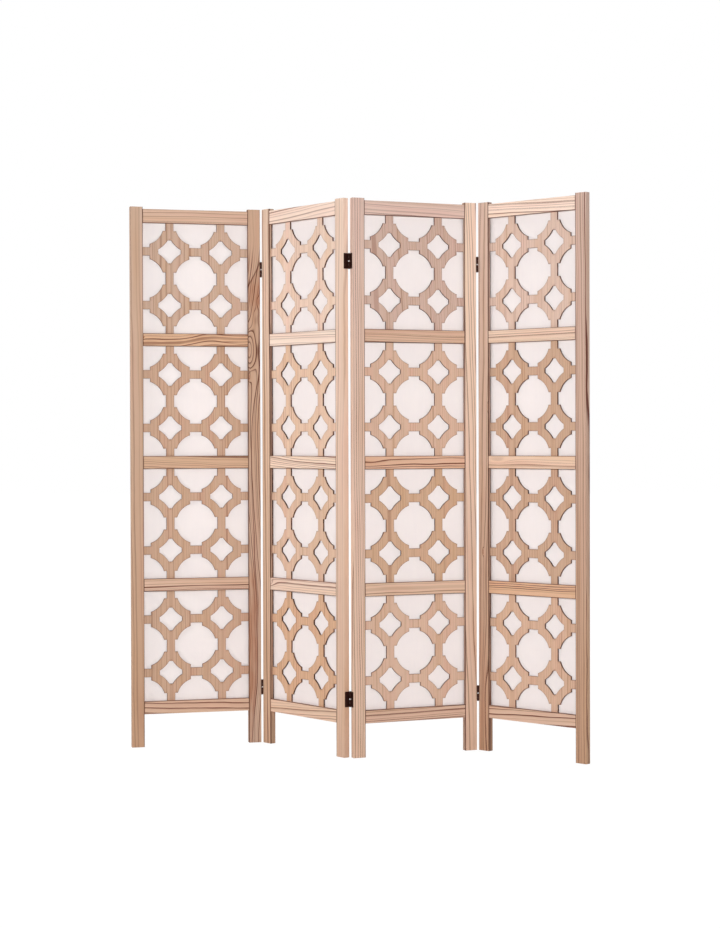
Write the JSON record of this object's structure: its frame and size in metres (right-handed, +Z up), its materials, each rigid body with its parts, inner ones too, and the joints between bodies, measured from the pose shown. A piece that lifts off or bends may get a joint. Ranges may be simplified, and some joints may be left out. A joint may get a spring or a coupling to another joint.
{
  "type": "folding room divider",
  "caption": "Free-standing folding screen of hinged wooden panels, each with square cells of cut-out ring and diamond lattice over white sheets, standing in a zigzag.",
  "frame": {"origin": "on the floor, under the middle of the standing row's outer box", "axes": "+Z up, +X along the row to the right as seen from the front, the lattice side faces -Y"},
  "size_m": [1.4895, 0.5029, 1.8],
  "materials": {
    "stile_wood": "planed softwood, unfinished, upright grain",
    "rail_wood": "planed softwood, unfinished, level grain",
    "lattice_wood": "thin veneered board with upright grain and browned cut edges",
    "sheet": "matt off-white non-woven paper",
    "dowel_wood": "turned hardwood",
    "hinge_bronze": "steel plated dark bronze",
    "screw_bronze": "steel plated dark bronze",
    "pin_steel": "bright steel"
  },
  "bodies": {
    "panel_1": {"panel_1_left_stile": "stile_wood", "panel_1_right_stile": "stile_wood", "panel_1_bottom_rail": "rail_wood", "panel_1_lower_rail": "rail_wood", "panel_1_middle_rail": "rail_wood", "panel_1_upper_rail": "rail_wood", "panel_1_top_rail": "rail_wood", "panel_1_lattice_boards": "lattice_wood", "panel_1_sheets": "sheet", "panel_1_dowels": "dowel_wood", "panel_1_hinge_screws": "screw_bronze", "lower_hinge_1_2_left_leaf": "hinge_bronze", "upper_hinge_1_2_left_leaf": "hinge_bronze", "hinge_pins_1_2": "pin_steel"},
    "panel_2": {"panel_2_left_stile": "stile_wood", "panel_2_right_stile": "stile_wood", "panel_2_bottom_rail": "rail_wood", "panel_2_lower_rail": "rail_wood", "panel_2_middle_rail": "rail_wood", "panel_2_upper_rail": "rail_wood", "panel_2_top_rail": "rail_wood", "panel_2_lattice_boards": "lattice_wood", "panel_2_sheets": "sheet", "panel_2_dowels": "dowel_wood", "panel_2_hinge_screws": "screw_bronze", "lower_hinge_1_2_right_leaf": "hinge_bronze", "upper_hinge_1_2_right_leaf": "hinge_bronze", "lower_hinge_2_3_left_leaf": "hinge_bronze", "upper_hinge_2_3_left_leaf": "hinge_bronze", "hinge_pins_2_3": "pin_steel"},
    "panel_3": {"panel_3_left_stile": "stile_wood", "panel_3_right_stile": "stile_wood", "panel_3_bottom_rail": "rail_wood", "panel_3_lower_rail": "rail_wood", "panel_3_middle_rail": "rail_wood", "panel_3_upper_rail": "rail_wood", "panel_3_top_rail": "rail_wood", "panel_3_lattice_boards": "lattice_wood", "panel_3_sheets": "sheet", "panel_3_dowels": "dowel_wood", "panel_3_hinge_screws": "screw_bronze", "lower_hinge_2_3_right_leaf": "hinge_bronze", "upper_hinge_2_3_right_leaf": "hinge_bronze", "lower_hinge_3_4_left_leaf": "hinge_bronze", "upper_hinge_3_4_left_leaf": "hinge_bronze", "hinge_pins_3_4": "pin_steel"},
    "panel_4": {"panel_4_left_stile": "stile_wood", "panel_4_right_stile": "stile_wood", "panel_4_bottom_rail": "rail_wood", "panel_4_lower_rail": "rail_wood", "panel_4_middle_rail": "rail_wood", "panel_4_upper_rail": "rail_wood", "panel_4_top_rail": "rail_wood", "panel_4_lattice_boards": "lattice_wood", "panel_4_sheets": "sheet", "panel_4_dowels": "dowel_wood", "panel_4_hinge_screws": "screw_bronze", "lower_hinge_3_4_right_leaf": "hinge_bronze", "upper_hinge_3_4_right_leaf": "hinge_bronze"}
  },
  "joints": [
    {"name": "fold_1_2", "type": "hinge", "parent": "panel_2", "child": "panel_1", "pos_m": [-0.31228, 0.23004, 0.9], "axis": [0, 0, 1], "range_deg": [-66, 114]},
    {"name": "fold_2_3", "type": "hinge", "parent": "panel_2", "child": "panel_3", "pos_m": [-0.01208, -0.09813, 0.9], "axis": [0, 0, 1], "range_deg": [-73.6, 106.4]},
    {"name": "fold_3_4", "type": "hinge", "parent": "panel_3", "child": "panel_4", "pos_m": [0.40756, 0.04923, 0.9], "axis": [0, 0, 1], "range_deg": [-114, 66]}
  ]
}
